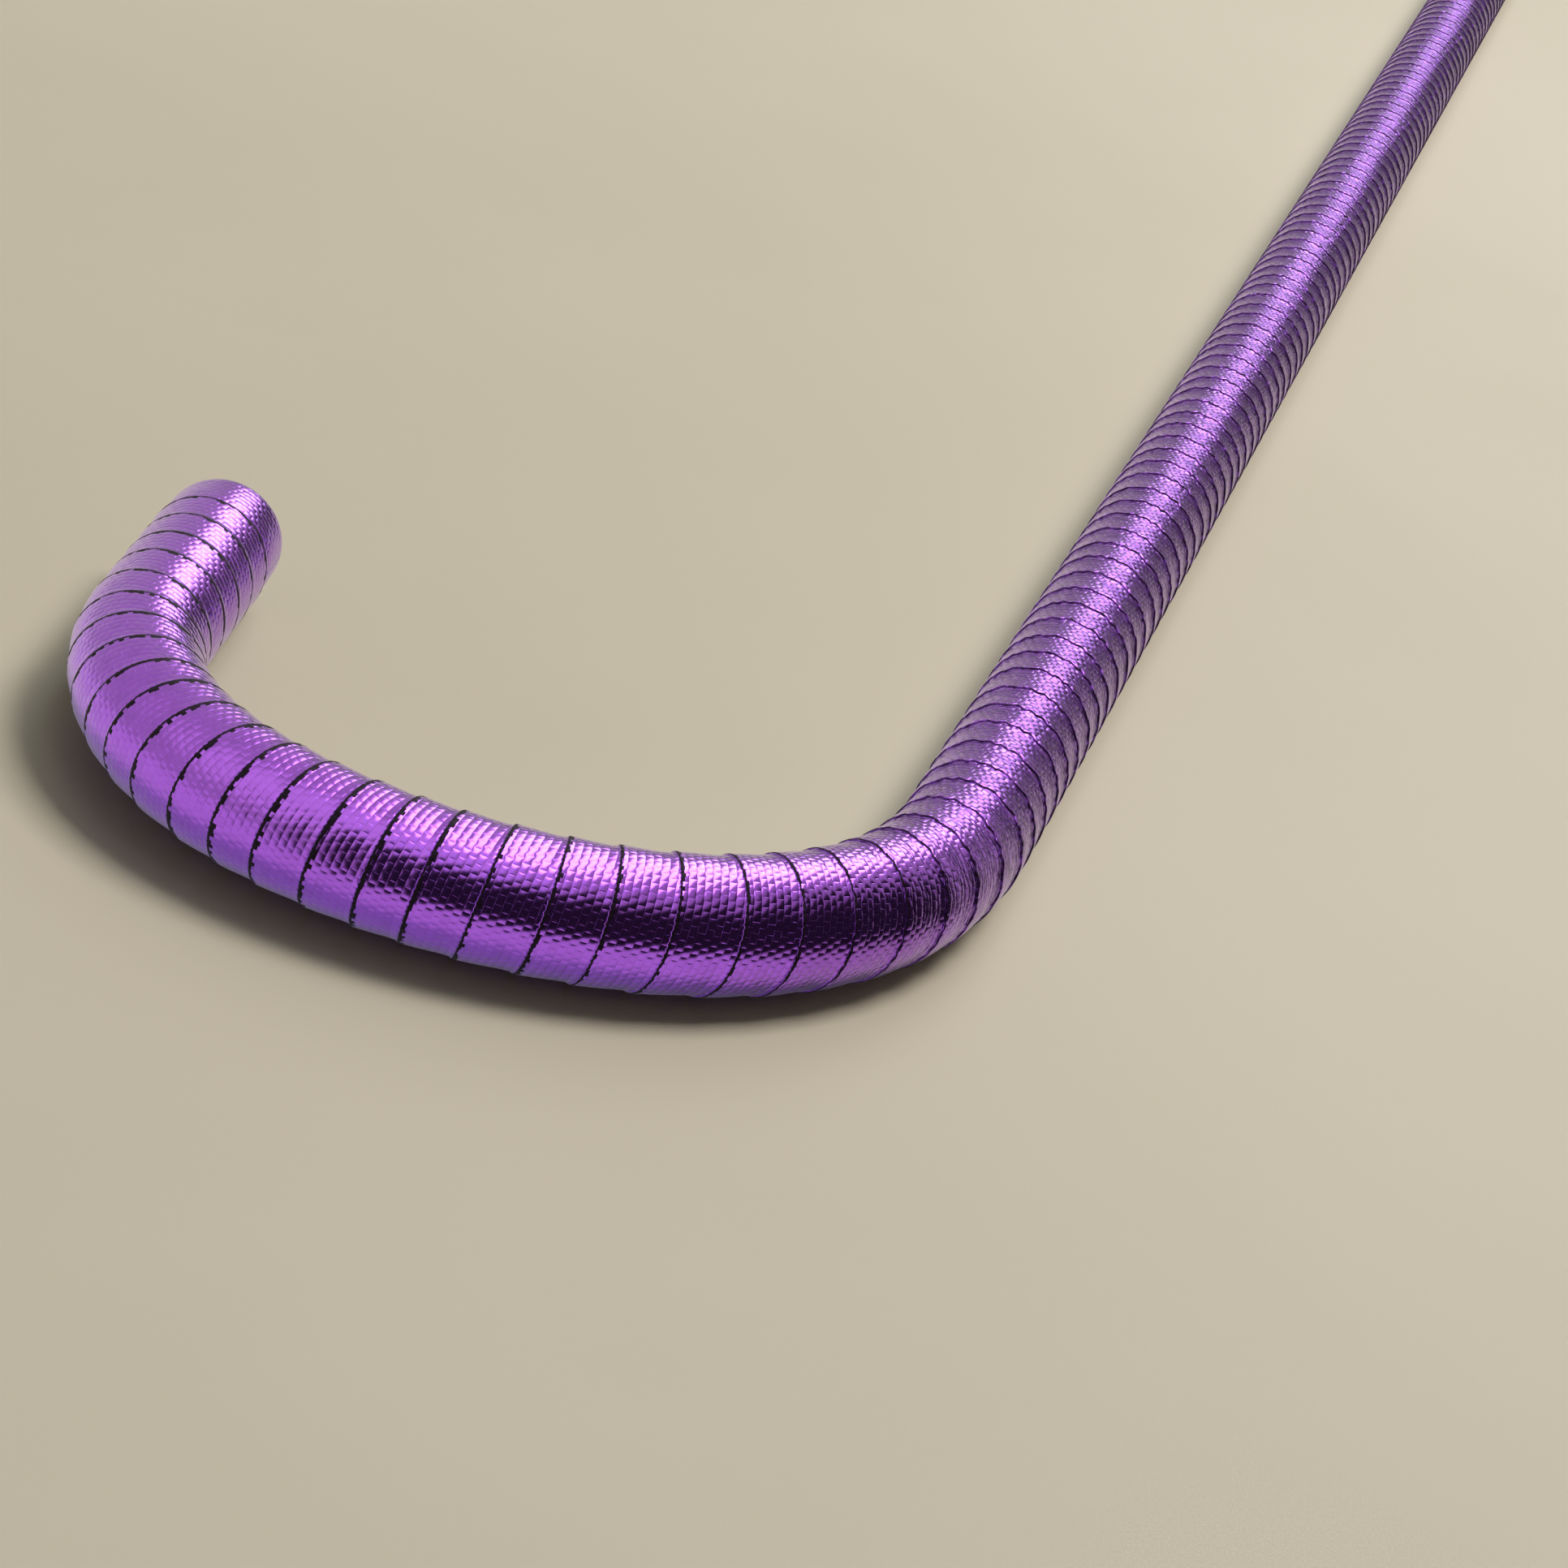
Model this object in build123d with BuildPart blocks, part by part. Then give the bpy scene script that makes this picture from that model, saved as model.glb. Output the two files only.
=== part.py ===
"""A rhythmic ribbon wand: a crook-ended stick wound with metallic ribbon, with a swivel clip at its tip.

Millimetres, +Z up. The origin is on the shaft's axis, just beyond the crook. The straight shaft runs along +X and
the crook curls round in the XY plane towards +Y, so the wand lies flat on a floor at z = -wrap_radius.
"""

import os
from math import radians

from build123d import *

# Driving dimensions of the stick
stick_length = 500.0  # developed along the centre line, from the crook's end to the ferrule's nose
wrap_radius = 5.0  # over the ribbon
ribbon_build = 0.6  # thickness that the ribbon's overlapping turns add
tape_thickness = 0.4  # cushion tape between tube and ribbon
tube_wall = 1.0
bond_gap = 0.02  # glue line between layers, and fitting gap of riveted and pressed pieces

# The crook, as arcs from the shaft to its end: (radius, angle in degrees)
crook_arcs = [(50.0, 12.5), (30.5, 51.3), (35.0, 43.2), (25.0, 65.8)]
crook_lead = 17.0  # straight stretch from the origin back to the first arc
crook_leg = 19.2  # straight stretch at the crook's end

# The plug in the crook's end
plug_head = 2.0
plug_head_round = 1.6
plug_spigot = 8.0
plug_spigot_round = 0.6

# The ferrule at the shaft's far end
ferrule_length = 17.0
ferrule_nose = 2.0  # thickness of its front wall
ferrule_chamber = 3.0  # between the tube's end and the front wall
ferrule_nose_round = 1.5
rivet_radius = 0.75
rivet_set_back = 6.0  # from the ferrule's rear edge
rivet_recess = 0.1
rivet_edge = 0.2

# Swivels
running_clearance = 0.04  # radial, for every turning fit
end_float = 0.05  # between faces that slide on each other
stem_radius = 1.0
washer_radius = 2.5
washer_thickness = 0.5
collar_radius = 2.2
collar_thickness = 1.0
collar_edge = 0.35

# The swivel eye in the ferrule's nose
eye_ring_radius = 2.0
eye_wire_radius = 0.7
eye_stand_off = 1.6  # from the ferrule's nose to the back of the eye

# The jump ring
jump_radius = 4.0
jump_wire_radius = 0.6
jump_gap_angle = 3.0  # the butt gap where the ring is closed

# The clip's bow
bow_radius = 2.6
bow_wire_radius = 0.7
bow_arm = 3.0  # from the bend's centre to the base disc
bow_base_radius = 3.5
bow_base_thickness = 1.4
bow_base_edge = 0.3

# The clip's hook
boss_radius = 2.4
boss_length = 3.0
boss_edge = 0.4
clip_collar_radius = 1.75
clip_length = 22.0
clip_width = 8.6
clip_thickness = 3.0
clip_bar = 1.8  # width of the hook's bar
clip_edge = 0.6
gate_length = 11.0  # from the pivot to the middle of the nose's end face
gate_width = 1.6
gate_edge = 0.5
gate_clearance = 0.12
nose_slant = 0.4  # how far the nose's end face leans along the gate, per mm across it
lug_radius = 1.3
tongue_radius = 1.15
tongue_thickness = 1.5
neck_width = 1.3
pin_radius = 0.5
pin_edge = 0.12
spring_wire_radius = 0.1
spring_radius = 0.75
spring_coils = 3
spring_pocket_radius = 0.92
spring_pocket_depth = 0.7

# Radii of the stick's layers
tape_outer = wrap_radius - ribbon_build
tube_outer = tape_outer - tape_thickness
tube_inner = tube_outer - tube_wall

# Places along the shaft's axis, from the ferrule out to the clip's end
crook_length = crook_lead + crook_leg + sum(radius * radians(angle) for radius, angle in crook_arcs)
ferrule_front = stick_length - crook_length
ferrule_rear = ferrule_front - ferrule_length
nose_inside = ferrule_front - ferrule_nose
tube_end = nose_inside - ferrule_chamber
rivet_x = ferrule_rear + rivet_set_back
washer_rear = nose_inside - end_float - washer_thickness
collar_rear = washer_rear - end_float - collar_thickness
eye_x = ferrule_front + eye_stand_off + eye_ring_radius + eye_wire_radius
jump_near_x = eye_x + eye_ring_radius - eye_wire_radius - jump_wire_radius - end_float
jump_x = jump_near_x + jump_radius
bow_rear_x = jump_x + jump_radius - jump_wire_radius - bow_wire_radius - end_float
bow_centre_x = bow_rear_x + bow_radius
bow_base_x = bow_centre_x + bow_arm
clip_collar_x = bow_base_x - end_float - collar_thickness
boss_x = bow_base_x + bow_base_thickness + end_float
frame_x = boss_x + boss_length
pivot_x = frame_x + clip_width / 2
pivot_y = clip_width / 2 - clip_bar / 2
nose_x = pivot_x + gate_length


def disc_plane(x):
    """The plane across the shaft's axis at x."""
    return Plane.YZ.offset(x)


def end_face(piece, axis, which):
    """The piece's first (0) or last (-1) face along an axis."""
    return piece.faces().sort_by(axis)[which]


# The stick's centre line, from the tube's end in the ferrule to the crook's end
with BuildLine() as centre_line:
    bend_start = Vector(-crook_lead, 0, 0)
    heading = Vector(-1, 0, 0)
    Line((tube_end, 0, 0), bend_start)
    for radius, angle in crook_arcs:
        bend = JernArc(start=bend_start, tangent=heading, radius=radius, arc_size=-angle)
        bend_start = bend @ 1
        heading = heading.rotate(Axis.Z, -angle)
    Line(bend_start, bend_start + heading * crook_leg)

tube_line = centre_line.wire()
layer_cut_back = tube_end - ferrule_rear + bond_gap
layer_line = tube_line.trim(layer_cut_back / tube_line.length, 1.0)
tube_start_plane = Plane(origin=tube_line @ 0, z_dir=tube_line % 0)
layer_start_plane = Plane(origin=layer_line @ 0, z_dir=layer_line % 0)
crook_end_plane = Plane(origin=tube_line @ 1, z_dir=tube_line % 1, x_dir=(0, 0, 1))
crook_axis = Axis(tube_line @ 1, tube_line % 1)

# Core tube, bent to the crook and cross-drilled for the rivet
with BuildPart() as core_tube:
    with BuildSketch(tube_start_plane):
        Circle(tube_outer)
        Circle(tube_inner, mode=Mode.SUBTRACT)
    sweep(path=tube_line)
    with BuildSketch(Plane.XY):
        with Locations((rivet_x, 0)):
            Circle(rivet_radius + bond_gap)
    extrude(amount=wrap_radius, both=True, mode=Mode.SUBTRACT)

# Cushion tape wound on the tube
with BuildPart() as cushion_tape:
    with BuildSketch(layer_start_plane):
        Circle(tape_outer - bond_gap)
        Circle(tube_outer + bond_gap, mode=Mode.SUBTRACT)
    sweep(path=layer_line)

# Plug in the crook's end, with a head that rounds off the tube
with BuildPart() as crook_end_plug:
    with BuildSketch(crook_end_plane.offset(bond_gap)):
        Circle(tape_outer - bond_gap)
    extrude(amount=plug_head)
    fillet(end_face(crook_end_plug, crook_axis, -1).edges(), radius=plug_head_round)
    with BuildSketch(crook_end_plane.offset(bond_gap)):
        Circle(tube_inner - bond_gap)
    extrude(amount=-plug_spigot)
    fillet(end_face(crook_end_plug, crook_axis, 0).edges(), radius=plug_spigot_round)

# Ribbon wound over the tape and turned in over the plug's head
wrap_pocket = plug_head + 2 * bond_gap
with BuildPart() as ribbon_wrap:
    with BuildSketch(layer_start_plane):
        Circle(wrap_radius)
    sweep(path=layer_line)
    with BuildSketch(crook_end_plane):
        Circle(wrap_radius)
    extrude(amount=wrap_pocket + ribbon_build)
    fillet(end_face(ribbon_wrap, crook_axis, -1).edges(), radius=plug_head_round + ribbon_build)
    with BuildSketch(layer_start_plane):
        Circle(tape_outer)
    sweep(path=layer_line, mode=Mode.SUBTRACT)
    with BuildSketch(crook_end_plane):
        Circle(tape_outer)
    pocket = extrude(amount=wrap_pocket, mode=Mode.PRIVATE)
    pocket_rim = pocket.faces().sort_by(crook_axis)[-1].edges()
    add(pocket.fillet(plug_head_round, pocket_rim), mode=Mode.SUBTRACT)

# Ferrule: a cup over the tube's end with a hole for the swivel stem
with BuildPart() as tip_ferrule:
    with BuildSketch(disc_plane(ferrule_rear)):
        Circle(wrap_radius - bond_gap)
    extrude(amount=ferrule_length)
    fillet(end_face(tip_ferrule, Axis.X, -1).edges(), radius=ferrule_nose_round)
    with BuildSketch(disc_plane(ferrule_rear)):
        Circle(tube_outer + bond_gap)
    extrude(amount=tube_end - ferrule_rear + bond_gap, mode=Mode.SUBTRACT)
    with BuildSketch(disc_plane(tube_end)):
        Circle(tube_inner)
    extrude(amount=ferrule_chamber, mode=Mode.SUBTRACT)
    with BuildSketch(disc_plane(nose_inside)):
        Circle(stem_radius + running_clearance)
    extrude(amount=ferrule_nose, mode=Mode.SUBTRACT)
    with BuildSketch(Plane.XY):
        with Locations((rivet_x, 0)):
            Circle(rivet_radius + bond_gap)
    extrude(amount=wrap_radius, both=True, mode=Mode.SUBTRACT)

# Cross rivet through ferrule and tube
with BuildPart() as ferrule_rivet:
    with BuildSketch(Plane.XY):
        with Locations((rivet_x, 0)):
            Circle(rivet_radius)
    extrude(amount=wrap_radius - rivet_recess, both=True)
    fillet(ferrule_rivet.faces().filter_by(GeomType.PLANE).edges(), radius=rivet_edge)

# Washer between the stem's collar and the ferrule's nose
with BuildPart() as thrust_washer:
    with BuildSketch(disc_plane(washer_rear)):
        Circle(washer_radius)
        Circle(stem_radius + running_clearance, mode=Mode.SUBTRACT)
    extrude(amount=washer_thickness)

# Swivel eye and its stem
with BuildPart() as swivel_eye:
    with BuildSketch(disc_plane(eye_x)):
        with Locations((0, eye_ring_radius)):
            Circle(eye_wire_radius)
    revolve(axis=Axis((eye_x, 0, 0), (0, 1, 0)))
    with BuildSketch(disc_plane(collar_rear)):
        Circle(stem_radius)
    extrude(amount=eye_x - eye_ring_radius - collar_rear)

# Collar riveted on the eye's stem
with BuildPart() as swivel_eye_collar:
    with BuildSketch(disc_plane(collar_rear)):
        Circle(collar_radius)
    extrude(amount=collar_thickness)
    fillet(end_face(swivel_eye_collar, Axis.X, 0).edges(), radius=collar_edge)
    with BuildSketch(disc_plane(collar_rear)):
        Circle(stem_radius)
    extrude(amount=collar_thickness, mode=Mode.SUBTRACT)

# Jump ring, flat at rest, with its butt gap to one side
gap_edge = Vector(0, 1, 0).rotate(Axis.Z, jump_gap_angle / 2)
with BuildPart() as jump_ring:
    with BuildSketch(Plane(origin=(jump_x, 0, 0), x_dir=gap_edge, z_dir=gap_edge.cross(Vector(0, 0, 1)))):
        with Locations((jump_radius, 0)):
            Circle(jump_wire_radius)
    revolve(axis=Axis((jump_x, 0, 0), (0, 0, 1)), revolution_arc=360 - jump_gap_angle)

# Bow of the clip: a bent wire loop on a drilled base disc
with BuildPart() as clip_bow:
    with BuildLine(Plane.XZ) as bow_line:
        arm_end = bow_base_x + bow_base_thickness / 2
        Line((arm_end, -bow_radius), (bow_centre_x, -bow_radius))
        ThreePointArc((bow_centre_x, -bow_radius), (bow_rear_x, 0), (bow_centre_x, bow_radius))
        Line((bow_centre_x, bow_radius), (arm_end, bow_radius))
    with BuildSketch(Plane(origin=bow_line.wire() @ 0, z_dir=bow_line.wire() % 0)):
        Circle(bow_wire_radius)
    sweep(path=bow_line.wire())
    with BuildSketch(disc_plane(bow_base_x)):
        Circle(bow_base_radius)
    extrude(amount=bow_base_thickness)
    fillet(end_face(clip_bow, Axis.X, -1).edges(), radius=bow_base_edge)
    with BuildSketch(disc_plane(bow_base_x)):
        Circle(stem_radius + running_clearance)
    extrude(amount=bow_base_thickness, mode=Mode.SUBTRACT)

# Clip body: the hook's frame with a gap for the gate, its slotted lug, its boss and its stem
with BuildPart() as clip_body:
    with BuildSketch(Plane.XY):
        with Locations((frame_x + clip_length / 2, 0)):
            SlotOverall(clip_length, clip_width)
            SlotOverall(clip_length - 2 * clip_bar, clip_width - 2 * clip_bar, mode=Mode.SUBTRACT)
    extrude(amount=clip_thickness / 2, both=True)
    flat_sides = clip_body.faces().filter_by(Axis.Z)
    fillet(flat_sides.edges(), radius=clip_edge)
    with BuildSketch(Plane.XY):
        with BuildLine():
            Polyline(
                (pivot_x, 0),
                (pivot_x, clip_width),
                (nose_x - nose_slant * (clip_width - pivot_y), clip_width),
                (nose_x + nose_slant * pivot_y, 0),
                close=True,
            )
        make_face()
    extrude(amount=clip_thickness, both=True, mode=Mode.SUBTRACT)
    with BuildSketch(Plane.XY):
        with Locations((pivot_x, pivot_y)):
            Circle(lug_radius)
    extrude(amount=clip_thickness / 2, both=True)
    with BuildSketch(Plane.XY):
        with Locations((pivot_x, pivot_y)):
            Circle(lug_radius + gate_clearance)
    extrude(amount=tongue_thickness / 2 + gate_clearance, both=True, mode=Mode.SUBTRACT)
    with BuildSketch(Plane.XY):
        with Locations((pivot_x, pivot_y)):
            Circle(pin_radius + bond_gap)
    extrude(amount=clip_thickness, both=True, mode=Mode.SUBTRACT)
    with BuildSketch(disc_plane(boss_x)):
        Circle(boss_radius)
    extrude(amount=boss_length + clip_bar / 2)
    fillet(end_face(clip_body, Axis.X, 0).edges(), radius=boss_edge)
    with BuildSketch(disc_plane(clip_collar_x)):
        Circle(stem_radius)
    extrude(amount=boss_x - clip_collar_x + boss_edge)

# Collar riveted on the clip's stem
with BuildPart() as clip_stem_collar:
    with BuildSketch(disc_plane(clip_collar_x)):
        Circle(clip_collar_radius)
    extrude(amount=collar_thickness)
    fillet(end_face(clip_stem_collar, Axis.X, 0).edges(), radius=collar_edge)
    with BuildSketch(disc_plane(clip_collar_x)):
        Circle(stem_radius)
    extrude(amount=collar_thickness, mode=Mode.SUBTRACT)

# Gate: a bar as thick as the frame, with a thinner tongue that turns in the lug's slot
gate_heel = lug_radius + gate_clearance
half_gate = gate_width / 2
tip_x = nose_x - gate_clearance
with BuildPart() as clip_gate:
    with BuildSketch(Plane.XY):
        with BuildLine():
            Polyline(
                (pivot_x, pivot_y - half_gate),
                (pivot_x, pivot_y + half_gate),
                (tip_x - nose_slant * half_gate, pivot_y + half_gate),
                (tip_x + nose_slant * half_gate, pivot_y - half_gate),
                close=True,
            )
        make_face()
        with Locations((pivot_x, pivot_y)):
            Circle(gate_heel, mode=Mode.SUBTRACT)
    extrude(amount=clip_thickness / 2, both=True)
    fillet(clip_gate.edges().filter_by(Axis.X), radius=gate_edge)
    with BuildSketch(Plane.XY):
        with Locations((pivot_x, pivot_y)):
            Circle(tongue_radius)
            Rectangle(gate_heel + half_gate, neck_width, align=(Align.MIN, Align.CENTER))
    extrude(amount=tongue_thickness / 2, both=True)
    with BuildSketch(Plane.XY):
        with Locations((pivot_x, pivot_y)):
            Circle(pin_radius + running_clearance)
    extrude(amount=tongue_thickness, both=True, mode=Mode.SUBTRACT)
    with BuildSketch(Plane.XY.offset(tongue_thickness / 2 - spring_pocket_depth)):
        with Locations((pivot_x, pivot_y)):
            Circle(spring_pocket_radius)
    extrude(amount=spring_pocket_depth, mode=Mode.SUBTRACT)

# Pin the gate turns on, riveted in the lug
with BuildPart() as gate_pin:
    with BuildSketch(Plane.XY):
        with Locations((pivot_x, pivot_y)):
            Circle(pin_radius)
    extrude(amount=clip_thickness / 2, both=True)
    fillet(gate_pin.faces().filter_by(GeomType.PLANE).edges(), radius=pin_edge)

# Closing spring round the pin: its touching coils are drawn as one turned solid
coil_pitch = 2 * (spring_wire_radius - bond_gap / 2)
first_coil_z = tongue_thickness / 2 - spring_pocket_depth + spring_wire_radius + bond_gap
with BuildPart() as gate_spring:
    with BuildSketch(Plane(origin=(pivot_x, pivot_y, 0), x_dir=(1, 0, 0), z_dir=(0, -1, 0))):
        with Locations([(spring_radius, first_coil_z + coil * coil_pitch) for coil in range(spring_coils)]):
            Circle(spring_wire_radius)
    revolve(axis=Axis((pivot_x, pivot_y, 0), (0, 0, 1)))

pieces = {
    "core_tube": core_tube,
    "cushion_tape": cushion_tape,
    "crook_end_plug": crook_end_plug,
    "ribbon_wrap": ribbon_wrap,
    "tip_ferrule": tip_ferrule,
    "ferrule_rivet": ferrule_rivet,
    "thrust_washer": thrust_washer,
    "swivel_eye": swivel_eye,
    "swivel_eye_collar": swivel_eye_collar,
    "jump_ring": jump_ring,
    "clip_bow": clip_bow,
    "clip_body": clip_body,
    "clip_stem_collar": clip_stem_collar,
    "clip_gate": clip_gate,
    "gate_pin": gate_pin,
    "gate_spring": gate_spring,
}
os.makedirs("parts", exist_ok=True)
for name, piece in pieces.items():
    piece.part.label = name
    export_step(piece.part, f"parts/{name}.step")

print(f"swivel eye turns at x {ferrule_front:.4f}, jump ring swings at x {jump_near_x:.4f}")
print(f"bow swings at x {bow_rear_x:.4f}, clip turns at x {boss_x:.4f}")
print(f"gate turns at x {pivot_x:.4f}, y {pivot_y:.4f}; clip frame starts at x {frame_x:.4f}")
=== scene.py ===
"""The visual model of a rhythmic ribbon wand: its wound metallic ribbon, hardware, studio and camera.

Metres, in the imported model's frame: the shaft runs along +X, the crook curls towards +Y, and the floor
is at the underside of the wand.
"""

import math

import bpy
import numpy as np
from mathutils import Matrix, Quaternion, Vector


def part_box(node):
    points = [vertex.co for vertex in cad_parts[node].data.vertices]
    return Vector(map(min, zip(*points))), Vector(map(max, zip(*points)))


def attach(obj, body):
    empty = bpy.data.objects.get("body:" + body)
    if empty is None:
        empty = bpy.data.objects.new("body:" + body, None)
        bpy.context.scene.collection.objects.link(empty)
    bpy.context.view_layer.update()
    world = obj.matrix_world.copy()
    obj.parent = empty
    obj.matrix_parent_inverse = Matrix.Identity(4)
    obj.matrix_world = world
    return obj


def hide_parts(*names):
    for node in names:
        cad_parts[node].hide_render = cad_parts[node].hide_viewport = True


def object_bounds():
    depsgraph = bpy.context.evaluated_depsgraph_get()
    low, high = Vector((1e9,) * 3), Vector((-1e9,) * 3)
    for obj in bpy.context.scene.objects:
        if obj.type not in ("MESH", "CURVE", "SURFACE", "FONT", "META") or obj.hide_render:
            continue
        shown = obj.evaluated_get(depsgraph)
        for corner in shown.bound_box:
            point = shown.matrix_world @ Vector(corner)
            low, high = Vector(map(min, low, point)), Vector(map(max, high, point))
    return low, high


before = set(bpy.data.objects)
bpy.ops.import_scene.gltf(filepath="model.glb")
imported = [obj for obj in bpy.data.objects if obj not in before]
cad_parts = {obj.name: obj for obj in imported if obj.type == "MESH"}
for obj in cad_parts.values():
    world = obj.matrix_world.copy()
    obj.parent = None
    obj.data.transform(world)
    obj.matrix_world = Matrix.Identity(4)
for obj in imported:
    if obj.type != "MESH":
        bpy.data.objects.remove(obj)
cad_low, cad_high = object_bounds()

MM = 0.001
TURN = 2 * math.pi

# The stick's centre line, as the CAD model has it: the crook is arcs of (radius, angle)
arcs_in_mm_and_degrees = [(50, 12.5), (30.5, 51.3), (35, 43.2), (25, 65.8)]
crook_arcs = [(radius * MM, math.radians(angle)) for radius, angle in arcs_in_mm_and_degrees]
crook_lead = 17 * MM
crook_leg = 19.2 * MM
ferrule_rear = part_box("tip_ferrule")[0].x

# How the ribbon is wound: from the crook's end, each turn lapping the one before
winding = -1  # its sense about the stick: 1 or -1
first_edge = 2.83 * MM  # where the first turn's leading edge starts, from the crook's end
first_angle = math.radians(-90)
shaft_pitch = 4.17 * MM
crook_pitch = 3.37 * MM
tight_middle = 45.7 * MM  # the turns are closest here
tight_spread = 22.9 * MM
pitch_drift = 0.084  # the winder's slow unevenness
drift_rate = 1.9  # radians a turn
drift_phase = -0.08
pitch_start = 2.5  # how soon the pitch builds up from nothing at the start
lap_share = 0.3
ferrule_gap = 0.03 * MM
least_last_edge = 0.5 * MM  # the winding stops this near the ferrule

# The strip's own shape
outer_radius = 4.97 * MM
ribbon_thickness = 0.10 * MM
layer_step = 0.105 * MM  # how much deeper the strip lies one turn back, under the next turn
bevel = 0.1 * MM
columns_per_turn = 152
tooth_depth = 0.06 * MM
crook_sag = 0.05 * MM  # the hollow across a turn, in the crook and on the shaft
shaft_sag = 0.055 * MM
sag_skew = 3.0  # above 1, the hollow lies nearer the turn's back than its leading edge
shaft_edge_wander = 0.15 * MM
wander_share = 0.3  # how far back from the edge the wander dies out
shaft_ease = 60 * MM  # from the tight middle on, the crook's look changes into the shaft's over this length
last_lap_step = 0.02 * MM  # between the edges that end at the ferrule

# The weave and the film
cells_per_turn = 42
row_width = 0.6 * MM
weave_depth = 0.036 * MM
crook_relief = 0.7
shaft_relief = 1.2
loose_relief = 0.95  # above this relief the rows start to wander
row_wander = 2.6  # in rows, over the noise's whole range
row_wander_scale = 0.32  # of the noise, in the weave's own coordinates
# widths of the dark selvedge band: partly dark threads, partly a painted shadow line under each lap's edge
crook_shaded_selvedge = 0.58 * MM
shaft_shaded_selvedge = 0.10 * MM
ribbon_colour = (0.41, 0.112, 0.82, 1)
# the dark end of the cells' random tone, and the colour of the painted shade in the weave's gaps
tone_and_gap_shade_colour = (0.05, 0.01, 0.10, 1)
# the dark selvedge: dark threads and a painted shadow line at each lap's edge
selvedge_shade_colour = (0.010, 0.003, 0.014, 1)
ribbon_roughness = 0.17
lacquer = 0.38

# The studio, as the metal sees it. The strip's edges are y parts of a ray's direction
strip_low = -0.20
strip_high = 0.11
strip_soft = 0.07
strip_strength = 4.3
wall_strength = 0.62
diffuse_share = 0.12  # share of the whole studio's light that diffuse surfaces get
corner_heading = math.radians(-124)
dim_heading = math.radians(-15)
dim_height = math.radians(5)
back_heading = math.radians(148)
back_height = math.radians(55)
floor_light_heading = math.radians(150)
floor_glow = (0.33, 0.34, 0.38, 1)


# ---------------------------------------------------------------- centre line

# the centre line from the ferrule back to the crook's end, as stretches of (length, angle turned)
stretches = [(ferrule_rear + crook_lead, 0.0)]
stretches += [(radius * angle, angle) for radius, angle in crook_arcs]
stretches += [(crook_leg, 0.0)]
stick_total = sum(length for length, _ in stretches)


def centre_line(distance):
    """Places along the stick, from the crook's end: points, directions to the inner side, curvatures."""
    travelled = stick_total - np.asarray(distance, float)
    point = np.array([ferrule_rear, 0.0])
    heading = math.pi
    places = np.zeros(travelled.shape + (2,))
    headings = np.full(travelled.shape, heading)
    curvature = np.zeros(travelled.shape)
    start = 0.0
    for index, (length, angle) in enumerate(stretches):
        last = index == len(stretches) - 1
        here = (travelled >= start) if last else (travelled >= start) & (travelled < start + length)
        if index == 0:
            here |= travelled < 0
        along = travelled[here] - start
        bend = angle / length if angle else 0.0
        if bend:
            turned = along * bend
            local = np.stack([np.sin(turned) / bend, (np.cos(turned) - 1) / bend], -1)
            end_local = np.array([math.sin(angle) / bend, (math.cos(angle) - 1) / bend])
        else:
            turned = np.zeros_like(along)
            local = np.stack([along, np.zeros_like(along)], -1)
            end_local = np.array([length, 0.0])
        ahead = [math.cos(heading), math.sin(heading)]
        axes = np.array([ahead, [-ahead[1], ahead[0]]])
        places[here] = point + local @ axes
        headings[here] = heading - turned
        curvature[here] = bend
        point = point + end_local @ axes
        heading -= angle
        start += length
    inner = np.stack([np.sin(headings), -np.cos(headings), 0 * headings], -1)
    points = np.concatenate([places, np.zeros(travelled.shape + (1,))], -1)
    return points, inner, curvature


def around(distance, angle, radius):
    """Points round the stick: angle 0 is the crook's inner side and a quarter turn is the top."""
    points, inner, _ = centre_line(distance)
    up = np.array([0.0, 0.0, 1.0])
    reach = np.asarray(radius)[..., None]
    return points + reach * (np.cos(angle)[..., None] * inner + np.sin(angle)[..., None] * up)


# ---------------------------------------------------------------- mesh helpers

def mesh_piece(name, points, faces, material, smooth=True):
    """A new mesh object from point and face arrays."""
    mesh = bpy.data.meshes.new(name)
    mesh.from_pydata([tuple(p) for p in points], [], [tuple(f) for f in faces])
    mesh.validate()
    mesh.materials.append(material)
    mesh.polygons.foreach_set("use_smooth", [smooth] * len(mesh.polygons))
    piece = bpy.data.objects.new(name, mesh)
    bpy.context.scene.collection.objects.link(piece)
    return piece


def loop_faces(rows, columns):
    """Quads over a grid whose columns close on themselves, with row-major points."""
    row, column = np.meshgrid(np.arange(rows - 1), np.arange(columns), indexing="ij")
    following = (column + 1) % columns
    here = row * columns
    beyond = (row + 1) * columns
    corners = [here + column, here + following, beyond + following, beyond + column]
    return np.stack(corners, -1).reshape(-1, 4)


# ---------------------------------------------------------------- the ribbon

def local_pitch(distance):
    """The winder drew the turns closer together round the crook."""
    closeness = np.exp(-((distance - tight_middle) / tight_spread) ** 4)
    return shaft_pitch - (shaft_pitch - crook_pitch) * closeness


def wind():
    """The leading edge's place after each column of the winding, to a little past the ferrule's edge."""
    places = [first_edge]
    column = 0
    while places[-1] < stick_total + 2 * shaft_pitch:
        turn = column / columns_per_turn
        drift = 1 + pitch_drift * math.sin(drift_rate * turn + drift_phase)
        start = 1 - math.exp(-pitch_start * turn)
        places.append(places[-1] + local_pitch(places[-1]) * drift * start / columns_per_turn)
        column += 1
    return np.array(places)


edge_places = wind()
column_count = int(np.searchsorted(edge_places, stick_total - ferrule_gap - least_last_edge))


def edge_at(turns):
    """The leading edge's place at any turn count."""
    return np.interp(turns * columns_per_turn, np.arange(len(edge_places)), edge_places)


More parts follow.
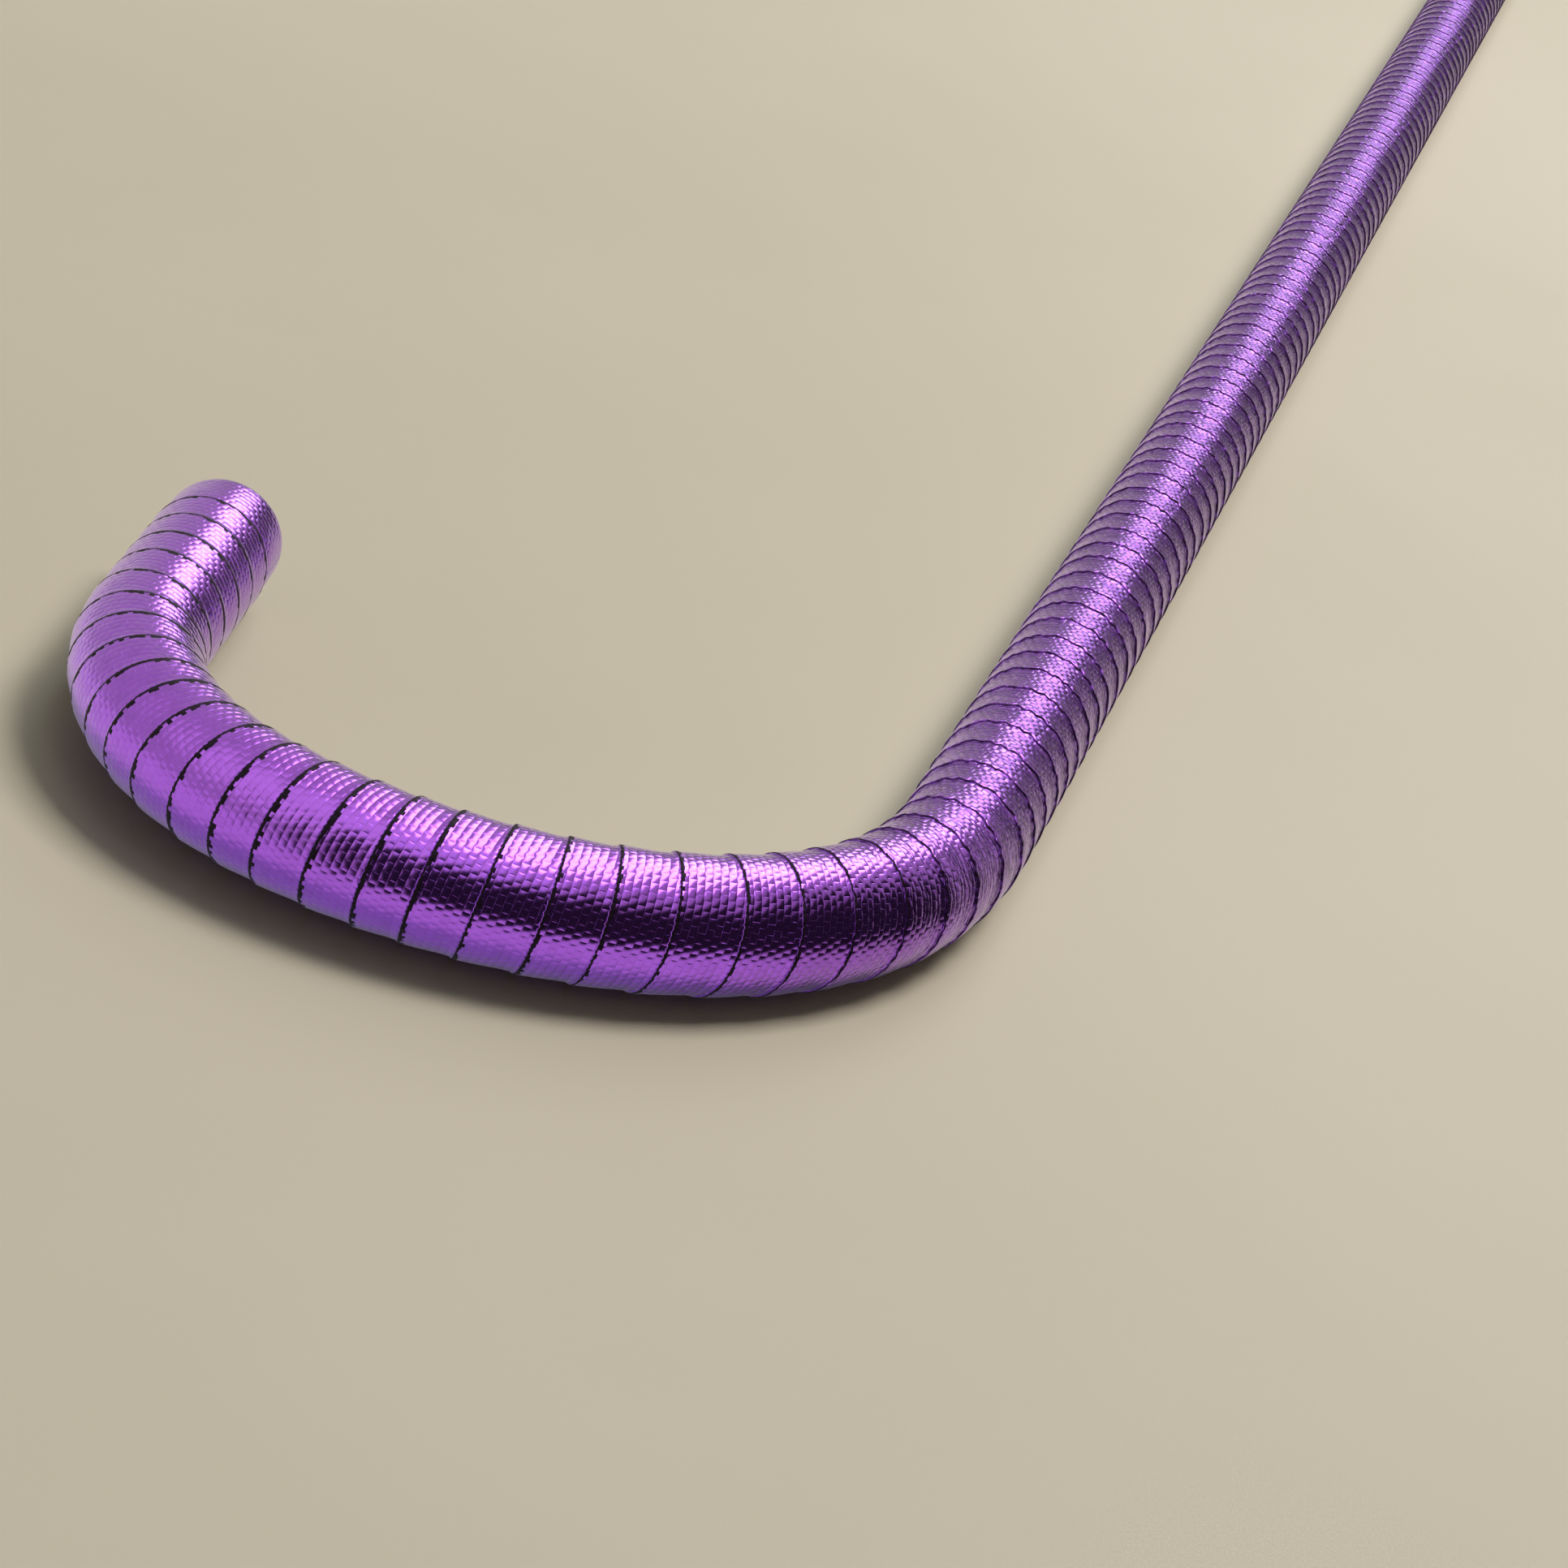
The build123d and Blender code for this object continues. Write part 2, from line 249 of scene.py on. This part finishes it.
def finish_ribbon(piece, weave, relief):
    """Give a ribbon piece its weave coordinates and its place in the model.

    Diffuse rays don't see it, so that it throws no purple on the floor.
    """
    attribute = piece.data.attributes.new("weave", "FLOAT_VECTOR", "POINT")
    attribute.data.foreach_set("vector", weave.reshape(-1))
    attribute = piece.data.attributes.new("relief", "FLOAT", "POINT")
    attribute.data.foreach_set("value", relief)
    piece.visible_diffuse = False
    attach(piece, "wand")
    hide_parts("ribbon_wrap")


def strip_outline():
    """The strip's section as (share of a turn back from its leading edge, further distance, depth)."""
    top_shares = [0.18, 0.34, 0.48, 0.6, 0.7, 0.79, 0.87, 0.94, 1.0, 1.0 + lap_share]
    bottom_shares = [1.0 + lap_share, 1.0, 0.8, 0.45]
    outline = [
        (0.0, 0.0, ribbon_thickness),
        (0.0, 0.1 * bevel, 0.85 * ribbon_thickness),
        (0.0, 0.9 * bevel, 0.1 * ribbon_thickness),
        (0.0, 1.2 * bevel, 0.0),
        (0.0, 3.5 * bevel, 0.0),
    ]
    outline += [(share, 0.0, 0.0) for share in top_shares]
    outline += [(share, 0.0, ribbon_thickness) for share in bottom_shares]
    return outline


def selvedge_teeth(columns):
    """The fine uneven tooth of the cut edge, from -1 to 1."""
    side = np.where(columns % 2 == 0, 1.0, -1.0)
    return side * (0.6 + 0.4 * np.sin(columns * 1.37 + 4 * np.sin(columns * 0.11)))


def edge_wander(columns, shaftness):
    """How far the leading edge strays along the stick: none in the tight bend, most on the shaft."""
    return shaft_edge_wander * shaftness ** 4 * np.sin(0.83 * columns + 2 * np.sin(0.21 * columns))


def ribbon_piece(name, first, last, material):
    """A length of the wound ribbon, from one column to another, as a closed strip."""
    columns = np.arange(first, last + 1)
    turns = columns / columns_per_turn
    angle = winding * TURN * turns + first_angle
    edge = edge_at(turns)
    limit = stick_total - ferrule_gap
    outline = strip_outline()
    teeth = selvedge_teeth(columns)
    # 0 up to the crook's tight middle, 1 from about where the shaft runs straight
    shaftness = np.clip((edge - tight_middle) / shaft_ease, 0, 1)
    sag = crook_sag + (shaft_sag - crook_sag) * shaftness
    # how wide the dark selvedge band is, dark threads and painted shadow line together
    shaded_selvedge = crook_shaded_selvedge + (shaft_shaded_selvedge - crook_shaded_selvedge) * shaftness
    relief = crook_relief + (shaft_relief - crook_relief) * shaftness
    wander = edge_wander(columns, shaftness)
    # the weave's threads run square to the ribbon, so its columns lean by the helix's slope
    cell_width = TURN * outer_radius / cells_per_turn
    lean = shaft_pitch / (TURN * outer_radius)
    points = np.zeros((len(columns), len(outline), 3))
    weave = np.zeros((len(columns), len(outline), 3))
    for index, (share, further, depth) in enumerate(outline):
        place = edge_at(turns + share) + further
        past_limit = place - limit > 0
        place = np.where(past_limit, limit - last_lap_step * (2 - share), place)
        frayed = tooth_depth * teeth * max(0.0, 1 - further / (2 * bevel)) * (share == 0)
        distance = place + frayed + wander * max(0.0, 1 - share / wander_share)
        hollow = sag * math.sin(math.pi * share ** sag_skew) if share < 1 else 0.0
        radius = outer_radius - layer_step * share - hollow - depth
        points[:, index] = around(distance, angle, np.full(len(columns), radius))
        _, _, curvature = centre_line(distance)
        across = (place - edge) * (1 - curvature * radius * np.cos(angle))
        weave[:, index, 0] = turns * cells_per_turn + across * lean / cell_width
        weave[:, index, 1] = across / row_width
        weave[:, index, 2] = across / shaded_selvedge
    count = len(outline)
    faces = loop_faces(len(columns), count).tolist()
    faces.append(list(range(count))[::-1])
    faces.append([(len(columns) - 1) * count + i for i in range(count)])
    piece = mesh_piece(name, points.reshape(-1, 3), faces, material)
    finish_ribbon(piece, weave, np.repeat(relief, count))


def cover_profile():
    """The end cover's section as (distance from the crook's end, radius), out along it and back inside."""
    length = 2.60 * MM
    rim = 2.2 * MM
    sleeve = 4.80 * MM
    skin = 0.12 * MM
    least_radius = 0.08 * MM
    under_first_turn = [(9.0, -0.24), (7.0, -0.24), (5.6, -0.2), (4.4, -0.1)]
    showing = [(3.4, 0.0), (2.2, 0.03), (1.2, 0.03), (0.2, 0.0)]
    gathered = [(0.03, 2.0), (0.12, 1.2), (0.3, 0.6), (0.5, 0.2)]
    bend = np.linspace(0, math.pi / 2, 9)
    outer = [(along * MM, sleeve + rise * MM) for along, rise in under_first_turn + showing]
    outer += [(-length + rim - rim * math.sin(b), sleeve - rim + rim * math.cos(b)) for b in bend]
    outer += [(-length + inward * MM, radius * MM) for inward, radius in gathered]
    inner = []
    for distance, radius in outer[::-1]:
        inward = skin if radius < sleeve - rim else 0.0
        inner.append((distance + inward, max(radius - skin, least_radius)))
    return outer + inner


def end_cover(material):
    """The ribbon's first length, folded over the crook's end and gathered into the middle."""
    steps = columns_per_turn
    pleat_depth = 0.07 * MM
    pleat_reach = 3.4 * MM
    pleats = 11
    far_from_selvedge = 5.0
    profile = cover_profile()
    turns = np.arange(steps) / steps
    angle = TURN * turns
    points = np.zeros((steps, len(profile), 3))
    weave = np.zeros((steps, len(profile), 3))
    travelled = 0.0
    for index, (distance, radius) in enumerate(profile):
        if index:
            before = profile[index - 1]
            travelled += math.hypot(distance - before[0], radius - before[1])
        depth = pleat_depth * max(0.0, 1 - radius / pleat_reach)
        pleat = depth * np.sin(pleats * angle + 0.8 * np.sin(3 * angle))
        points[:, index] = around(np.full(steps, distance) + pleat, angle, np.full(steps, radius))
        weave[:, index, 0] = turns * cells_per_turn
        weave[:, index, 1] = travelled / row_width
        weave[:, index, 2] = far_from_selvedge
    count = len(profile)
    faces = []
    for step in range(steps):
        here = step * count
        beyond = (step + 1) % steps * count
        for index in range(count):
            after = (index + 1) % count
            faces.append((here + index, here + after, beyond + after, beyond + index))
    piece = mesh_piece("ribbon_end_fold", points.reshape(-1, 3), faces, material)
    finish_ribbon(piece, weave, np.full(steps * count, crook_relief))


# ---------------------------------------------------------------- node helpers

class Graph:
    """A material's or world's nodes, with short calls for maths."""

    def __init__(self, tree):
        self.tree = tree
        self.tree.nodes.clear()

    def node(self, kind, **settings):
        """A new node."""
        made = self.tree.nodes.new(kind)
        for key, value in settings.items():
            setattr(made, key, value)
        return made

    def link(self, value, socket):
        """Feed a socket from another socket or with a plain value."""
        if isinstance(value, bpy.types.NodeSocket):
            self.tree.links.new(value, socket)
        else:
            socket.default_value = value

    def maths(self, operation, *values):
        """The result of a maths node."""
        made = self.node("ShaderNodeMath", operation=operation)
        for socket, value in zip(made.inputs, values):
            self.link(value, socket)
        return made.outputs[0]

    def product(self, *values):
        """All the values multiplied together, two at a time from the left."""
        result = values[0]
        for value in values[1:]:
            result = self.maths("MULTIPLY", result, value)
        return result

    def ramp(self, value, low, high, start=0.0, end=1.0):
        """A smooth change from start to end while the value goes from low to high."""
        made = self.node("ShaderNodeMapRange", interpolation_type="SMOOTHSTEP")
        for socket, given in zip(made.inputs, (value, low, high, start, end)):
            self.link(given, socket)
        return made.outputs[0]

    def mix(self, factor, first, second):
        """A colour between two."""
        made = self.node("ShaderNodeMix", data_type="RGBA")
        factor_socket, first_socket, second_socket = made.inputs[0], made.inputs[6], made.inputs[7]
        self.link(factor, factor_socket)
        self.link(first, first_socket)
        self.link(second, second_socket)
        return made.outputs[2]

    def split(self, vector):
        """A vector's three parts."""
        made = self.node("ShaderNodeSeparateXYZ")
        self.link(vector, made.inputs[0])
        return made.outputs

    def bump(self, height, strength, distance):
        """A normal that follows a height."""
        made = self.node("ShaderNodeBump")
        made.inputs["Strength"].default_value = strength
        made.inputs["Distance"].default_value = distance
        self.link(height, made.inputs["Height"])
        return made.outputs[0]

    def noise(self, vector, scale, detail=2.0, roughness=0.5):
        """Cloudy noise between 0 and 1."""
        made = self.node("ShaderNodeTexNoise")
        self.link(vector, made.inputs["Vector"])
        made.inputs["Scale"].default_value = scale
        made.inputs["Detail"].default_value = detail
        made.inputs["Roughness"].default_value = roughness
        return made.outputs["Fac"]


def new_material(name):
    """An empty material with one shader, its graph and that shader."""
    material = bpy.data.materials.new(name)
    material.use_nodes = True
    graph = Graph(material.node_tree)
    shader = graph.node("ShaderNodeBsdfPrincipled")
    output = graph.node("ShaderNodeOutputMaterial")
    graph.link(shader.outputs[0], output.inputs["Surface"])
    return material, graph, shader


def weave_cells(graph, along, across):
    """The weave's staggered cells: the place in a cell, -0.5 to 0.5 each way, and its three chances."""
    row = graph.maths("FLOOR", across)
    stagger = graph.product(graph.maths("FLOORED_MODULO", row, 2.0), 0.5)
    shifted = graph.maths("ADD", along, stagger)
    cell = graph.node("ShaderNodeCombineXYZ")
    graph.link(graph.maths("FLOOR", shifted), cell.inputs[0])
    graph.link(row, cell.inputs[1])
    chance = graph.node("ShaderNodeTexWhiteNoise", noise_dimensions="3D")
    graph.link(cell.outputs[0], chance.inputs["Vector"])
    cell_x = graph.maths("SUBTRACT", graph.maths("FRACT", shifted), 0.5)
    cell_y = graph.maths("SUBTRACT", graph.maths("FRACT", across), 0.5)
    return cell_x, cell_y, graph.split(chance.outputs["Color"])


def weave_pillow(graph, cell_x, cell_y):
    """The rounded top of each cell, 1 in its middle and 0 in the gaps."""
    dome = graph.product(
        graph.maths("COSINE", graph.product(cell_x, math.pi)),
        graph.maths("COSINE", graph.product(cell_y, math.pi)),
    )
    return graph.maths("POWER", graph.maths("MAXIMUM", dome, 0.0), 0.7)


def selvedge_threads_and_shade(graph, along, from_edge):
    """The selvedge's dark threads, which also paint the shadow line under the lap's edge: each shows more
    or less of its core.
    """
    threads = graph.node("ShaderNodeTexWhiteNoise", noise_dimensions="1D")
    threads_per_cell = 2.0
    graph.link(graph.maths("FLOOR", graph.product(along, threads_per_cell)), threads.inputs["W"])
    reach = graph.maths("ADD", 0.5, graph.product(threads.outputs["Value"], 0.7))
    return graph.product(graph.maths("LESS_THAN", from_edge, reach), graph.ramp(from_edge, 0.1, 0.2))


def ribbon_material():
    """Purple metallised film, finely woven, under a clear lacquer, with painted shade in the weave's gaps
    and a dark frayed selvedge that also stands for a painted shadow line under each lap's edge.
    """
    material, graph, shader = new_material("metallic_ribbon")
    place = graph.node("ShaderNodeAttribute", attribute_name="weave").outputs["Vector"]
    relief = graph.node("ShaderNodeAttribute", attribute_name="relief").outputs["Fac"]
    along, even, from_edge = graph.split(place)
    # on the shaft the rows of the weave wander and the painted shade in their gaps grows darker
    loose = graph.ramp(relief, loose_relief, shaft_relief)
    row_drift = graph.maths("SUBTRACT", graph.noise(place, row_wander_scale, 2.0), 0.5)
    across = graph.maths("ADD", even, graph.product(row_drift, row_wander, loose))
    cell_x, cell_y, chance = weave_cells(graph, along, across)
    pillow = weave_pillow(graph, cell_x, cell_y)
    # every cell leans its own way
    lean_x = graph.product(graph.maths("SUBTRACT", chance[0], 0.5), cell_x)
    lean_y = graph.product(graph.maths("SUBTRACT", chance[1], 0.5), cell_y)
    leans = graph.product(graph.maths("ADD", lean_x, lean_y), 1.1)
    height = graph.product(graph.maths("ADD", pillow, leans), relief)
    normal = graph.bump(height, 1.0, weave_depth)
    # colour: painted shade darkens the weave's gaps and the rim of some cells
    rim_shade = graph.product(chance[1], graph.ramp(pillow, 0.25, 0.75, 1.0, 0.0))
    gap_shade = graph.maths("MAXIMUM", graph.ramp(pillow, 0.05, 0.45, 1.0, 0.0), rim_shade)
    gap_shade = graph.product(gap_shade, graph.maths("ADD", 0.05, graph.product(loose, 0.5)))
    grain = graph.noise(place, 2.6, 3.0)
    tint = graph.maths("ADD", 0.84, graph.product(graph.maths("ADD", chance[2], grain), 0.14))
    film = graph.mix(graph.maths("SUBTRACT", tint, gap_shade), tone_and_gap_shade_colour, ribbon_colour)
    # the dark selvedge band: dark threads, and painted shadow under the lap's edge
    shaded_selvedge = selvedge_threads_and_shade(graph, along, from_edge)
    metal = graph.maths("SUBTRACT", 1.0, shaded_selvedge)
    roughness = graph.maths("ADD", ribbon_roughness, graph.product(shaded_selvedge, 0.4))
    graph.link(graph.mix(shaded_selvedge, film, selvedge_shade_colour), shader.inputs["Base Color"])
    graph.link(metal, shader.inputs["Metallic"])
    graph.link(0.15, shader.inputs["Specular IOR Level"])
    graph.link(roughness, shader.inputs["Roughness"])
    graph.link(graph.product(metal, lacquer), shader.inputs["Coat Weight"])
    graph.link(0.15, shader.inputs["Coat Roughness"])
    graph.link(normal, shader.inputs["Normal"])
    graph.link(normal, shader.inputs["Coat Normal"])
    return material


def metal_material(name, colour, roughness, stretch):
    """Metal with fine brushing or polishing marks, slight stains and varied gloss."""
    material, graph, shader = new_material(name)
    place = graph.node("ShaderNodeTexCoord").outputs["Object"]
    mapping = graph.node("ShaderNodeMapping")
    mapping.inputs["Scale"].default_value = stretch
    graph.link(place, mapping.inputs["Vector"])
    marks = graph.noise(mapping.outputs[0], 900.0, 4.0, 0.6)
    stains = graph.ramp(graph.noise(place, 160.0, 3.0), 0.35, 0.7)
    darker = tuple(0.72 * part for part in colour) + (1,)
    gloss = graph.ramp(marks, 0.3, 0.75, 0.7 * roughness, 1.5 * roughness)
    graph.link(graph.mix(stains, darker, colour + (1,)), shader.inputs["Base Color"])
    graph.link(1.0, shader.inputs["Metallic"])
    graph.link(gloss, shader.inputs["Roughness"])
    graph.link(graph.bump(marks, 0.3, 0.01 * MM), shader.inputs["Normal"])
    return material


def plain_material(name, colour, roughness, grain, depth):
    """Moulded plastic or cloth tape: one colour with a fine grain."""
    material, graph, shader = new_material(name)
    place = graph.node("ShaderNodeTexCoord").outputs["Object"]
    texture = graph.noise(place, grain, 3.0)
    darker = tuple(0.8 * part for part in colour) + (1,)
    gloss = graph.ramp(texture, 0.3, 0.7, roughness + 0.1, roughness - 0.05)
    graph.link(graph.mix(graph.ramp(texture, 0.3, 0.7), darker, colour + (1,)), shader.inputs["Base Color"])
    graph.link(gloss, shader.inputs["Roughness"])
    graph.link(graph.bump(texture, 0.4, depth), shader.inputs["Normal"])
    return material


# ---------------------------------------------------------------- the studio

def toward(graph, direction, heading, height=0.0):
    """How nearly a ray points at a place in the studio."""
    level = math.cos(height)
    aim = (level * math.cos(heading), level * math.sin(heading), math.sin(height))
    product = graph.node("ShaderNodeVectorMath", operation="DOT_PRODUCT")
    graph.link(direction, product.inputs[0])
    product.inputs[1].default_value = aim
    return product.outputs["Value"]


def dark_corner(graph, direction):
    """The unlit quarter of the studio behind the camera: 1 in its middle, 0 outside it."""
    level = graph.node("ShaderNodeVectorMath", operation="MULTIPLY")
    graph.link(direction, level.inputs[0])
    level.inputs[1].default_value = (1, 1, 0)
    flat = graph.node("ShaderNodeVectorMath", operation="NORMALIZE")
    graph.link(level.outputs[0], flat.inputs[0])
    return graph.ramp(toward(graph, flat.outputs[0], corner_heading), -0.1, 0.45)


def dim_patch(graph, direction):
    """The dimmer place beyond the wand's tip, low on the right: 1 in its middle."""
    return graph.ramp(toward(graph, direction, dim_heading, dim_height), 0.93, 0.99)


def strip_across(graph, y):
    """The overhead strip's soft-edged width: 1 inside it."""
    return graph.product(
        graph.ramp(y, strip_low - strip_soft, strip_low + strip_soft),
        graph.ramp(y, strip_high - strip_soft, strip_high + strip_soft, 1.0, 0.0),
    )


def strip_along(graph, x, z):
    """The strip's length, from above the far horizon to just behind overhead: 1 inside it."""
    tilt = graph.maths("ARCTAN2", z, x)
    return graph.product(
        graph.ramp(tilt, math.radians(12), math.radians(30)),
        graph.ramp(tilt, math.radians(84), math.radians(103), 1.0, 0.0),
    )


def wall_light(graph, direction, x, z):
    """How bright the walls are: unlit in one corner, dimmer at the far end, brighter at the back."""
    low = graph.ramp(z, 0.6, 0.95, 1.0, 0.0)
    lit = graph.ramp(graph.product(dark_corner(graph, direction), low), 0.0, 1.0, 1.0, 0.04)
    far_end = graph.ramp(x, 0.86, 0.96, 1.0, 0.55)
    back = toward(graph, direction, back_heading, back_height)
    bright_back = graph.ramp(back, 0.72, 0.95, 1.0, 1.7)
    dim = graph.ramp(dim_patch(graph, direction), 0.0, 1.0, 1.0, 0.25)
    return graph.product(graph.product(lit, far_end), graph.product(bright_back, dim))


def studio_world():
    """A studio seen in the metallic ribbon: a bright strip overhead, grey walls and an unlit corner.

    To diffuse surfaces all of it is dimmer, so that the key light makes the shadows.
    """
    wall_tone = (1.0, 0.99, 0.84, 1)
    strip_tone = (1.0, 1.0, 0.97, 1)
    world = bpy.data.worlds.new("studio")
    world.use_nodes = True
    bpy.context.scene.world = world
    graph = Graph(world.node_tree)
    direction = graph.node("ShaderNodeTexCoord").outputs["Generated"]
    x, y, z = graph.split(direction)
    across = strip_across(graph, y)
    strip = graph.product(across, strip_along(graph, x, z), strip_strength)
    walls = graph.product(wall_light(graph, direction, x, z), wall_strength)
    rays = graph.node("ShaderNodeLightPath")
    dimmed = graph.ramp(rays.outputs["Is Diffuse Ray"], 0.0, 1.0, 1.0, diffuse_share)
    background = graph.node("ShaderNodeBackground")
    output = graph.node("ShaderNodeOutputWorld")
    graph.link(graph.mix(across, wall_tone, strip_tone), background.inputs["Color"])
    graph.link(graph.product(graph.maths("ADD", walls, strip), dimmed), background.inputs["Strength"])
    graph.link(background.outputs[0], output.inputs["Surface"])


def floor_material():
    """A pale floor. Seen in metal it glows a little, and goes dark towards the unlit corner."""
    light_tone = (0.51, 0.47, 0.39, 1)
    dark_tone = (0.47, 0.43, 0.35, 1)
    material, graph, shader = new_material("pale_floor")
    place = graph.node("ShaderNodeTexCoord").outputs["Object"]
    cloud = graph.ramp(graph.noise(place, 6.0, 5.0), 0.3, 0.7)
    graph.link(graph.mix(cloud, dark_tone, light_tone), shader.inputs["Base Color"])
    graph.link(0.55, shader.inputs["Roughness"])
    graph.link(floor_glow, shader.inputs["Emission Color"])
    in_mirror = graph.node("ShaderNodeLightPath").outputs["Is Glossy Ray"]
    outward = graph.node("ShaderNodeVectorMath", operation="SCALE")
    graph.link(graph.node("ShaderNodeNewGeometry").outputs["Incoming"], outward.inputs[0])
    graph.link(-1.0, outward.inputs["Scale"])
    ray = outward.outputs[0]
    grazing = graph.ramp(graph.split(ray)[2], -0.42, -0.22)
    sunlit = graph.ramp(toward(graph, ray, floor_light_heading), -0.9, 0.1, 0.1, 1.0)
    graph.link(graph.product(sunlit, in_mirror), shader.inputs["Emission Strength"])
    unlit = graph.product(dark_corner(graph, ray), grazing)
    unlit = graph.maths("MAXIMUM", unlit, graph.product(dim_patch(graph, ray), 0.3))
    black = graph.node("ShaderNodeBsdfDiffuse")
    graph.link((0.02, 0.02, 0.02, 1), black.inputs["Color"])
    blend = graph.node("ShaderNodeMixShader")
    graph.link(graph.product(unlit, in_mirror), blend.inputs[0])
    graph.link(shader.outputs[0], blend.inputs[1])
    graph.link(black.outputs[0], blend.inputs[2])
    output = next(node for node in graph.tree.nodes if node.type == "OUTPUT_MATERIAL")
    graph.link(blend.outputs[0], output.inputs["Surface"])
    return material


def floor():
    """A plain pale floor just under the wand."""
    level = cad_low.z - 0.02 * MM
    reach = 8.0
    quarters = [(-1, -1), (1, -1), (1, 1), (-1, 1)]
    corners = [(x * reach, y * reach, level) for x, y in quarters]
    piece = mesh_piece("floor", corners, [(0, 1, 2, 3)], floor_material(), smooth=False)


def key_light():
    """A soft box high beyond the wand on the right, which throws the shadow but isn't seen in the metal."""
    light = bpy.data.lights.new("key", "AREA")
    light.shape = "RECTANGLE"
    light.size = 0.6
    light.size_y = 0.6
    light.energy = 27
    light.color = (1.0, 0.95, 0.88)
    lamp = bpy.data.objects.new("key", light)
    lamp.location = (0.66, -0.58, 1.4)
    lamp.rotation_mode = "QUATERNION"
    toward_origin = Vector((0, 0, 0)) - Vector(lamp.location)
    lamp.rotation_quaternion = toward_origin.to_track_quat("-Z", "Y")
    lamp.visible_glossy = False
    bpy.context.scene.collection.objects.link(lamp)


def camera():
    """The camera stands low in front of the crook and looks along the shaft, rolled a little."""
    data = bpy.data.cameras.new("camera")
    data.lens = 94.3
    data.sensor_width = 36.0
    data.clip_start = 0.01
    data.clip_end = 50.0
    place = Vector((-293.6, -29.3, 125.9)) * MM
    target = Vector((-19.25, 13.83, 0.0)) * MM
    roll = math.radians(15.4)
    forward = (target - place).normalized()
    eye = bpy.data.objects.new("camera", data)
    eye.location = place
    eye.rotation_mode = "QUATERNION"
    eye.rotation_quaternion = Quaternion(forward, -roll) @ forward.to_track_quat("-Z", "Y")
    bpy.context.scene.collection.objects.link(eye)
    bpy.context.scene.camera = eye


# ---------------------------------------------------------------- assembly

def wound_ribbon():
    """The end's cover and four lengths of ribbon, which meet under the stick at whole turns."""
    material = ribbon_material()
    end_cover(material)
    names = ("ribbon_crook", "ribbon_shaft_near", "ribbon_shaft_middle", "ribbon_shaft_far")
    turns_each = column_count / (len(names) * columns_per_turn)
    cuts = [round(turns_each * index) * columns_per_turn for index in range(len(names))]
    cuts.append(column_count)
    for name, first, last in zip(names, cuts, cuts[1:]):
        ribbon_piece(name, first, last, material)


def hardware_materials():
    """A material for each node that is carried over from the CAD model as it is."""
    materials = {
        "core_tube": metal_material("drawn_aluminium", (0.72, 0.73, 0.75), 0.3, (0.05, 1, 1)),
        "cushion_tape": plain_material("cloth_tape", (0.72, 0.7, 0.66), 0.8, 2500.0, 0.03 * MM),
        "crook_end_plug": plain_material("black_plastic", (0.03, 0.03, 0.035), 0.45, 900.0, 0.01 * MM),
        "tip_ferrule": metal_material("polished_nickel", (0.74, 0.73, 0.72), 0.14, (1, 1, 1)),
        "thrust_washer": plain_material("nylon", (0.8, 0.8, 0.77), 0.5, 900.0, 0.01 * MM),
    }
    nickel = metal_material("nickel_plate", (0.7, 0.69, 0.68), 0.2, (1, 1, 1))
    steel = metal_material("plain_steel", (0.5, 0.5, 0.52), 0.32, (0.2, 1, 1))
    for node in ("swivel_eye", "jump_ring", "clip_bow", "clip_body", "clip_gate"):
        materials[node] = nickel
    for node in ("ferrule_rivet", "swivel_eye_collar", "clip_stem_collar", "gate_pin", "gate_spring"):
        materials[node] = steel
    for node, material in materials.items():
        for material_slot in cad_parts[node].material_slots:
            material_slot.link = "OBJECT"
            material_slot.material = material


wound_ribbon()
hardware_materials()
studio_world()
floor()
key_light()
camera()
bpy.context.scene.view_settings.view_transform = "Standard"
